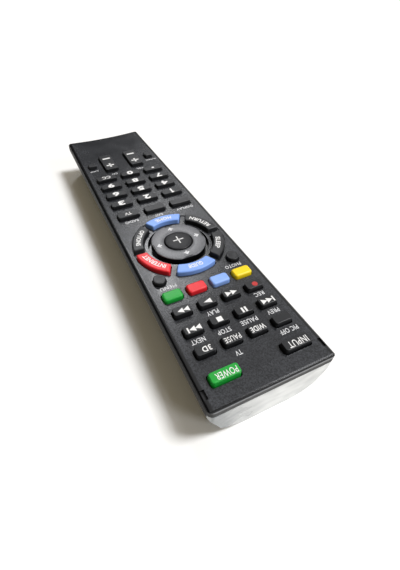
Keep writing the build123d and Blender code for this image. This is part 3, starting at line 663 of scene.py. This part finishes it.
# Flat arc between two radii, ends along the gaps, as one face
def arcSheet(bm, form, angle, margin, height):
    outer, inner = form["outer"] + margin, form["inner"] - margin
    halfGap = form["gap"] / 2 - margin
    span = math.radians(form["share"] - 2 * math.degrees(math.asin(halfGap / outer)))
    turn = Matrix.Rotation(math.radians(angle) - span / 2, 3, "Z")
    start = [bm.verts.new(ringCentre + turn @ Vector((radius * mm, 0, 0)) + Vector((0, 0, height)))
             for radius in (inner, outer)]
    edge = bm.edges.new(start)
    bmesh.ops.spin(bm, geom=start + [edge], cent=ringCentre, axis=(0, 0, 1), angle=span, steps=form["steps"],
                   use_merge=False)
    # the inner points are drawn in towards the middle of the arc, so that its ends run along the gap
    extra = math.asin(halfGap / inner) - math.asin(halfGap / outer)
    for vert in bm.verts:
        away = vert.co - ringCentre
        away.z = 0
        if away.length < (inner + outer) / 2 * mm:
            now = math.atan2(away.y, away.x) - math.radians(angle)
            now = (now + math.pi) % (2 * math.pi) - math.pi
            shift = -extra * now / (span / 2)
            vert.co = ringCentre + Matrix.Rotation(shift, 3, "Z") @ away + Vector((0, 0, vert.co.z))
    bmesh.ops.dissolve_faces(bm, faces=list(bm.faces), use_verts=False)
    face = bm.faces[:][0]
    if face.normal.z < 0:
        face.normal_flip()
    return face


def arcKey(node, angle, material):
    form = ringForm
    low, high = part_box(node)
    skirtTop = faceTop - keyForm["skirtDrop"] * mm
    top = high.z - keyForm["inkDepth"] * mm
    bm = bmesh.new()
    face = arcSheet(bm, form, angle, form["skirt"], skirtTop - keyForm["skirtThickness"] * mm)
    raiseFace(bm, face, keyForm["skirtThickness"] * mm)
    cap = bmesh.new()
    face = arcSheet(cap, form, angle, 0, skirtTop - form["sink"] * mm)
    sharpest = sorted(face.verts, key=cornerTurn, reverse=True)[:4]
    bevel(cap, sharpest, "VERTICES", form["corner"] * mm, form["roundSteps"])
    cap.faces.ensure_lookup_table()
    face = raiseFace(cap, cap.faces[0], top - skirtTop + form["sink"] * mm)
    bevel(cap, list(face.edges), "EDGES", form["rim"] * mm, form["roundSteps"])
    joinInto(bm, cap)
    spin = Matrix.Rotation(math.radians(angle), 3, "Z")
    at = spin @ Vector(((form["inner"] + form["outer"]) / 2 * mm, 0, 0))
    place = (at.x + form["centre"][0] * mm, at.y + form["centre"][1] * mm)
    stem = (form["stem"] * mm, form["stem"] * mm)
    addPost(bm, place, stem, low.z, skirtTop - keyForm["stemGap"] * mm, spin)
    finishMesh(bm, node + "_cap", material, keyBody[node], node)


for node, (angle, material, slot) in arcKeys.items():
    arcKey(node, angle, material)


# A turned shape: a profile of (radius, height) in millimetres, spun round an upright axis
def turned(bm, profile, centre, steps):
    middle = Vector((centre[0] * mm, centre[1] * mm, 0))
    verts = [bm.verts.new(middle + Vector((radius * mm, 0, height * mm))) for radius, height in profile]
    edges = [bm.edges.new(pair) for pair in zip(verts, verts[1:])]
    bmesh.ops.spin(bm, geom=verts + edges, cent=middle, axis=(0, 0, 1), angle=math.tau, steps=steps,
                   use_merge=True)
    bmesh.ops.remove_doubles(bm, verts=bm.verts, dist=1e-6)


# Points of a rounded corner between an upright side and a level top, going up and in
def roundedCorner(radius, height, size, steps=4):
    return [(radius - size + size * math.cos(math.radians(90 * n / steps)),
             height - size + size * math.sin(math.radians(90 * n / steps))) for n in range(steps + 1)]


# Small round keys beside the ring, with a slightly dished top
roundForm = dict(radius=2.7, row=44.7, column=17.1, rim=0.4, skirtRadius=3.5, stem=3.2, steps=48,
                 dish=0.12, dishRadius=1.4, dishShare=0.7)


def roundKey(node, side):
    form = roundForm
    low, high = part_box(node)
    top = high.z / mm - keyForm["inkDepth"]
    skirtTop = faceTop / mm - keyForm["skirtDrop"]
    skirtBase = skirtTop - keyForm["skirtThickness"]
    profile = [(0, skirtBase), (form["skirtRadius"], skirtBase), (form["skirtRadius"], skirtTop),
               (form["radius"], skirtTop)]
    profile += roundedCorner(form["radius"], top, form["rim"])
    profile += [(form["dishRadius"], top - form["dish"] * form["dishShare"]), (0, top - form["dish"])]
    bm = bmesh.new()
    turned(bm, profile, (side * form["column"], form["row"]), form["steps"])
    place = (side * form["column"] * mm, form["row"] * mm)
    addPost(bm, place, (form["stem"] * mm, form["stem"] * mm), low.z, (skirtTop - keyForm["stemGap"]) * mm)
    finishMesh(bm, node + "_cap", keyFinish, keyBody[node], node)


roundKey("round_key_left", -1)
roundKey("round_key_right", 1)

# Direction pad: a ring with four flats on its rim, and the key inside it. The base is above the floor, and a
# crown is given as radii, each with the share of the crown that is lost there.
padForm = dict(
    radius=12.5, inner=6.6, skirtRadius=14.35, flat=0.6, rim=0.45, base=16.67, steps=128, sharp=50,
    crown=0.12, crownCurve=((10.8, 0.25), (9.4, 0), (8.2, 0.2)),
    lip=0.3, lipDrop=0.25,  # rounding of the inner edge
    pills=2.6, pillPlace=9.55, pillSink=0.2,
    slack=0.01,  # when the points of the rim are picked
)
okForm = dict(
    radius=6.2, rim=0.5, base=17.8, steps=96, stem=4.4, stemSink=0.2,
    crown=0.18, crownCurve=((4.6, 0.45), (3.0, 0.15), (1.5, 0.03), (0, 0)),
)


def crownPoints(form, top):
    return [(radius, top - form["crown"] * lost) for radius, lost in form["crownCurve"]]


def directionRing():
    form = padForm
    base, top = form["base"], topOf("dpad_ring") - keyForm["inkDepth"]
    skirtTop = base + keyForm["skirtThickness"]
    rimTop = top - form["crown"]
    profile = [(form["inner"], base), (form["skirtRadius"], base), (form["skirtRadius"], skirtTop),
               (form["radius"], skirtTop)]
    profile += roundedCorner(form["radius"], rimTop, form["rim"]) + crownPoints(form, top)
    profile += [(form["inner"] + form["lip"], rimTop), (form["inner"], rimTop - form["lipDrop"]),
                (form["inner"], base)]
    bm = bmesh.new()
    turned(bm, profile, ringForm["centre"], form["steps"])
    limit = (form["radius"] - form["flat"]) * mm
    rimRadius = (form["radius"] + form["slack"]) * mm
    for vert in bm.verts:
        away = vert.co - ringCentre
        onRim = vert.co.z > (skirtTop - form["slack"]) * mm and away.xy.length < rimRadius
        if onRim and max(abs(away.x), abs(away.y)) > limit:
            vert.co.x = ringCentre.x + max(-limit, min(limit, away.x))
            vert.co.y = ringCentre.y + max(-limit, min(limit, away.y))
    for side in (-1, 1):
        place = (ringCentre.x, ringCentre.y + side * form["pillPlace"] * mm)
        addPost(bm, place, (form["pills"] * mm, form["pills"] * mm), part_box("dpad_ring")[0].z,
                (base + form["pillSink"]) * mm)
    finishMesh(bm, "dpad_ring_top", padFinish, "dpad_ring", "dpad_ring", sharp=form["sharp"])


def middleKey():
    form = okForm
    top = topOf("ok_key") - keyForm["inkDepth"]
    profile = [(0, form["base"]), (form["radius"], form["base"])]
    profile += roundedCorner(form["radius"], top - form["crown"], form["rim"]) + crownPoints(form, top)
    bm = bmesh.new()
    turned(bm, profile, ringForm["centre"], form["steps"])
    stem = (form["stem"] * mm, form["stem"] * mm)
    addPost(bm, (ringCentre.x, ringCentre.y), stem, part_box("ok_key")[0].z,
            (form["base"] + form["stemSink"]) * mm)
    finishMesh(bm, "ok_key_cap", okFinish, keyBody["ok_key"], "ok_key")


directionRing()
middleKey()
print("ring, pad and round keys made")


# Printed words and signs, in millimetres, each placed from the middle of a key. Text becomes a mesh first and
# is then sized and put in place.
inkForm = dict(
    thickness=0.03, faceLift=0.005, spacing=1.06, curveSteps=3,
    labelWeight=0.012, arcWeight=0.03, arcHeight=2.2, bend=18.1,  # bend is the radius of the ring's words
)
# How far the strokes on a key are thickened, by the number of letters
keyWeights = {1: 0.044, 2: 0.018, 4: 0.018, 5: 0.006}


def inkPiece(mesh, name, material, body):
    mesh.name = name
    mesh.materials.clear()
    mesh.materials.append(material)
    for polygon in mesh.polygons:
        polygon.use_smooth = False
    piece = addObject(name, mesh)
    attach(piece, body)


# Middle and length of a row of values
def middleAndSpan(values):
    low, high = min(values), max(values)
    return (high + low) / 2, high - low


def sizedMesh(mesh, width, height):
    middleX, spanX = middleAndSpan([v.co.x for v in mesh.vertices])
    middleY, spanY = middleAndSpan([v.co.y for v in mesh.vertices])
    middle = Vector((middleX, middleY, 0))
    scaleX, scaleY = width / spanX, height / spanY
    for vert in mesh.vertices:
        flat = vert.co - middle
        half = 0.5 if vert.co.z > 0 else -0.5
        vert.co = Vector((flat.x * scaleX, flat.y * scaleY, half * inkForm["thickness"])) * mm


def wordMesh(words, weight):
    curve = bpy.data.curves.new("word", "FONT")
    curve.body = words
    curve.resolution_u = inkForm["curveSteps"]
    curve.offset = weight
    curve.space_character = inkForm["spacing"]
    curve.extrude = 0.02  # any thickness, since sizedMesh sets it
    holder = bpy.data.objects.new("word", curve)
    mesh = bpy.data.meshes.new_from_object(holder)
    bpy.data.objects.remove(holder)
    bpy.data.curves.remove(curve)
    return mesh


def printWord(name, words, near, place, top, body, material, weight):
    shiftX, shiftY, width, height = place
    middleX, middleY = middleOf(near)
    mesh = wordMesh(words, weight)
    sizedMesh(mesh, width, height)
    x, y, z = middleX + shiftX, middleY + shiftY, top - inkForm["thickness"] / 2
    mesh.transform(Matrix.Translation(Vector((x * mm, y * mm, z * mm))))
    inkPiece(mesh, name, material, body)


# Words along the arc keys: letters stand outwards on the upper keys and inwards on the lower ones
def printArcWord(name, words, angle, top, width, body):
    mesh = wordMesh(words, inkForm["arcWeight"])
    sizedMesh(mesh, width, inkForm["arcHeight"])
    facing = 1 if 0 < angle < 180 else -1
    bend = inkForm["bend"] * mm
    for vert in mesh.vertices:
        radius = bend + facing * vert.co.y
        along = math.radians(angle) - facing * vert.co.x / bend
        vert.co = Vector((radius * math.cos(along) + ringForm["centre"][0] * mm,
                          radius * math.sin(along) + ringForm["centre"][1] * mm,
                          vert.co.z + (top - inkForm["thickness"] / 2) * mm))
    inkPiece(mesh, name, whiteInk, body)


# Words on the keys: shift from the key's middle in x and y, width and height
keyWords = dict(
    power_key=("POWER", -0.5, 0.35, 7.8, 2.4), input_key=("INPUT", -0.2, 0.35, 7.8, 2.5),
    wide_key=("WIDE", 0.05, 0.3, 5.8, 2.2), tv_pause_key=("PAUSE", -0.1, 0.3, 6.2, 2.2),
    depth_key=("3D", -0.6, 0.2, 3.4, 2.2), source_key=("TV", -0.1, -0.1, 3.4, 2.3),
    digit_2_key=("2", 0.05, 0.2, 3.5, 4.0), digit_3_key=("3", 0, 0.2, 3.5, 4.0),
    digit_4_key=("4", 0, 0.2, 3.7, 4.0), digit_5_key=("5", 0, 0.2, 3.5, 4.0),
    digit_6_key=("6", 0, 0.2, 3.5, 4.0), digit_7_key=("7", 0, 0.2, 3.4, 4.0),
    digit_8_key=("8", 0, 0.2, 3.5, 4.0), digit_9_key=("9", 0, 0.2, 3.5, 4.0),
    digit_0_key=("0", 0, 0.2, 3.5, 4.0), caption_key=("CC", -0.1, -0.1, 4.7, 2.8),
)
for node, (words, *place) in keyWords.items():
    printWord(node + "_print", words, node, place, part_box(node)[1].z / mm, keyBody[node], whiteInk,
              keyWeights[len(words)])

arcWords = dict(shortcut_key=("INTERNET", 12.0), guide_key=("GUIDE", 6.6), sleep_key=("SLEEP", 7.8),
                return_key=("RETURN", 11.4), home_key=("HOME", 8.0), options_key=("OPTIONS", 11.2))
for node, (words, width) in arcWords.items():
    printArcWord(node + "_print", words, arcKeys[node][0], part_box(node)[1].z / mm, width, keyBody[node])

# Words on the face, with the key that each stands by
faceWords = dict(
    labelTv=("tv_pause_key", "TV", 0.1, 5.0, 2.4, 2.0),
    labelPicture=("picture_off_key", "PIC OFF", -0.3, 4.5, 7.4, 2.0),
    labelPrevious=("previous_key", "PREV", -0.2, 4.25, 5.0, 2.0),
    labelPause=("pause_key", "PAUSE", 0, 4.35, 6.9, 2.0),
    labelStop=("stop_key", "STOP", 0.1, 4.45, 5.3, 2.0),
    labelNext=("next_key", "NEXT", 0, 4.25, 5.4, 2.0),
    labelRecord=("record_key", "REC", -0.3, 4.0, 4.2, 2.0),
    labelPlay=("play_key", "PLAY", -0.2, 4.5, 4.9, 2.0),
    labelPhoto=("round_key_left", "PHOTO", 2.2, 4.31, 7.4, 1.8),
    labelMenu=("round_key_right", "MENU", -2.0, 4.41, 7.0, 1.8),
    labelDisplay=("display_key", "DISPLAY", -0.5, 5.0, 9.2, 1.8),
    labelExit=("exit_key", "EXIT", -0.2, 5.2, 4.1, 1.8),
    labelRadio=("source_key", "RADIO", -0.2, 4.8, 6.8, 1.8),
    labelVolume=("volume_rocker", "VOL", -0.35, 13.1, 4.4, 1.8),
    labelChannel=("channel_rocker", "CH", -0.25, 13.1, 3.2, 1.8),
    labelMute=("mute_key", "MUTING", -0.4, 5.1, 6.6, 1.5),
    labelJump=("jump_key", "JUMP", 0.1, 5.1, 5.2, 1.5),
)
labelTop = faceTop / mm + inkForm["thickness"] + inkForm["faceLift"]
for name, (node, words, *place) in faceWords.items():
    printWord(name, words, node, place, labelTop, "case", labelInk, inkForm["labelWeight"])


arrowTurns = dict(right=-90, left=90, up=0, down=180)


# Signs on the keys, made from bars, triangles and discs: (kind, x, y, width, height)
def signPiece(node, parts, material=whiteInk, name=None):
    middleX, middleY = middleOf(node)
    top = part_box(node)[1].z
    bm = bmesh.new()
    for kind, x, y, width, height in parts:
        if kind == "bar":
            verts = bmesh.ops.create_cube(bm, size=1)["verts"]
        else:
            sides, radius = (32, 0.5) if kind == "disc" else (3, 1)
            verts = bmesh.ops.create_cone(bm, cap_ends=True, segments=sides, radius1=radius, radius2=radius,
                                          depth=1)["verts"]
        if kind in arrowTurns:
            turn = Matrix.Rotation(math.radians(arrowTurns[kind]), 3, "Z")
            bmesh.ops.rotate(bm, cent=(0, 0, 0), matrix=turn, verts=verts)
            offX, spanX = middleAndSpan([v.co.x for v in verts])
            offY, spanY = middleAndSpan([v.co.y for v in verts])
            bmesh.ops.translate(bm, vec=(-offX, -offY, 0), verts=verts)
            bmesh.ops.scale(bm, vec=(1 / spanX, 1 / spanY, 1), verts=verts)
        bmesh.ops.scale(bm, vec=(width * mm, height * mm, inkForm["thickness"] * mm), verts=verts)
        at = ((middleX + x) * mm, (middleY + y) * mm, top - inkForm["thickness"] / 2 * mm)
        bmesh.ops.translate(bm, vec=at, verts=verts)
    bmesh.ops.recalc_face_normals(bm, faces=bm.faces)
    mesh = bpy.data.meshes.new(node + "_print")
    bm.to_mesh(mesh)
    bm.free()
    inkPiece(mesh, name or node + "_print", material, keyBody[node])


keySigns = dict(
    digit_1_key=[("bar", 0, 0.2, 0.95, 4.0), ("bar", -0.75, 1.55, 0.7, 0.8)],
    previous_key=[
        ("bar", -2.4, 0.35, 0.6, 2.4), ("left", -0.8, 0.35, 2.4, 2.4), ("left", 1.4, 0.35, 2.4, 2.4),
    ],
    next_key=[
        ("right", -1.8, 0.35, 2.4, 2.4), ("right", 0.4, 0.35, 2.4, 2.4), ("bar", 2.0, 0.35, 0.6, 2.4),
    ],
    pause_key=[("bar", -0.65, 0.45, 0.8, 2.3), ("bar", 0.7, 0.45, 0.8, 2.3)],
    stop_key=[("bar", -0.05, 0.45, 2.2, 2.1)],
    play_key=[("right", 0, 0.4, 3.2, 2.3)],
    rewind_key=[("left", -1.1, 0.4, 2.4, 2.4), ("left", 1.2, 0.4, 2.4, 2.4)],
    forward_key=[("right", -1.5, 0.4, 2.4, 2.4), ("right", 0.8, 0.4, 2.4, 2.4)],
    record_key=[("disc", -0.3, 0.3, 2.3, 2.3)],
    dot_key=[("disc", -0.2, 0.2, 1.6, 1.6)],
)
for node, x in (("volume_rocker", -0.05), ("channel_rocker", -0.1)):
    keySigns[node] = [("bar", x, 4.9, 4.5, 1.1), ("bar", x, 4.9, 1.1, 4.5), ("bar", x, -4.2, 4.6, 1.4)]
for node, parts in keySigns.items():
    signPiece(node, parts, redInk if node == "record_key" else whiteInk)

# The pad's four arrows, each a triangle with a short tail, and dark bars at its rim that are painted shade of
# the gaps by its four flats
arrowForm = dict(reach=9.6, width=2.9, height=1.7, tailReach=8.5, tailWidth=0.7, tailHeight=1.0)
gapShadeForm = dict(reach=11.55, width=3.6, height=0.35)


# The same sign on both sides of the pad's centre, upright or lying on its side
def onBothSides(kinds, reach, width, height, upright):
    if upright:
        return [(kind, 0, reach * side, width, height) for kind, side in zip(kinds, (1, -1))]
    return [(kind, reach * side, 0, height, width) for kind, side in zip(kinds, (1, -1))]


arrows, gapShades = [], []
for heads, upright in ((("up", "down"), True), (("right", "left"), False)):
    arrows += onBothSides(heads, arrowForm["reach"], arrowForm["width"], arrowForm["height"], upright)
    arrows += onBothSides(("bar", "bar"), arrowForm["tailReach"], arrowForm["tailWidth"],
                          arrowForm["tailHeight"], upright)
    gapShades += onBothSides(("bar", "bar"), gapShadeForm["reach"], gapShadeForm["width"], gapShadeForm["height"], upright)
signPiece("dpad_ring", arrows, labelInk)
signPiece("dpad_ring", gapShades, gapShadeInk, "dpad_ring_gap_shade")
signPiece("ok_key", [("bar", -0.1, -0.2, 0.55, 5.0), ("bar", -0.1, -0.2, 5.0, 0.55)])
print("printing made")

# Floor and light
stageLook = dict(
    floor=(253, 253, 252), size=6.0, floorRough=0.9, floorGloss=0.1,
    sky=(255, 240, 206), skyStrength=0.22,
    domeAxis=(-0.35, 0.25, 0.90), domeEdge=(0.2, 0.5), domeLow=0.05,
    lamp=(251, 252, 255),
)
# Lamps: where their light comes from, their strength, and how wide they look in degrees
lamps = dict(
    overheadSoftbox=dict(place=(-0.57, 0.22, 1.0), strength=2.8, width=17),
    frontSoftbox=dict(place=(-0.5, 0.8, 0.45), strength=0.8, width=18),
    backSoftbox=dict(place=(-0.25, -0.69, 0.68), strength=0.50, width=11),  # sheen on the middle of the face
)


def makeFloor():
    bm = bmesh.new()
    bmesh.ops.create_grid(bm, x_segments=1, y_segments=1, size=stageLook["size"] / 2)
    mesh = bpy.data.meshes.new("floor")
    bm.to_mesh(mesh)
    bm.free()
    floor = addObject("floor", mesh)
    material, tree, shader = newMaterial("floorPale")
    feedAll(tree, shader, {
        "Base Color": paint(*stageLook["floor"]), "Roughness": stageLook["floorRough"],
        "Specular IOR Level": stageLook["floorGloss"],
    })
    mesh.materials.append(material)


def makeSky():
    world = bpy.data.worlds.new("studio")
    bpy.context.scene.world = world
    world.use_nodes = True
    tree = world.node_tree
    tree.nodes.clear()
    soft = addNode(tree, "ShaderNodeBackground", Color=paint(*stageLook["sky"]),
                   Strength=stageLook["skyStrength"])
    rays = addNode(tree, "ShaderNodeLightPath").outputs
    seenBy = mathNode(tree, "MAXIMUM", rays["Is Camera Ray"], rays["Is Transmission Ray"])
    seenBy = mathNode(tree, "MAXIMUM", seenBy, rays["Is Glossy Ray"])
    # gloss sees the white surroundings dim towards the back and the right, away from the lamps
    facing = addNode(tree, "ShaderNodeVectorMath", operation="DOT_PRODUCT")
    feed(tree, facing.inputs[0], addNode(tree, "ShaderNodeTexCoord").outputs["Generated"])
    feed(tree, facing.inputs[1], stageLook["domeAxis"])
    dome = rangeNode(tree, facing.outputs["Value"], *stageLook["domeEdge"], stageLook["domeLow"])
    white = mathNode(tree, "MAXIMUM", dome, rays["Is Camera Ray"])
    seen = addNode(tree, "ShaderNodeBackground", Color=(1, 1, 1, 1), Strength=white)
    mix = addNode(tree, "ShaderNodeMixShader")
    for place, value in enumerate((seenBy, soft.outputs[0], seen.outputs[0])):
        feed(tree, mix.inputs[place], value)
    addNode(tree, "ShaderNodeOutputWorld", Surface=mix.outputs[0])


def makeLamp(name, place, strength, width):
    data = bpy.data.lights.new(name, "SUN")
    data.energy = strength
    data.color = paint(*stageLook["lamp"])[:3]
    data.angle = math.radians(width)
    lamp = addObject(name, data)
    lamp.location = place
    lamp.rotation_mode = "QUATERNION"
    lamp.rotation_quaternion = (-Vector(place)).to_track_quat("-Z", "Y")
    lamp.visible_camera = False


makeFloor()
makeSky()
for name, settings in lamps.items():
    makeLamp(name, **settings)
print("stage ready")
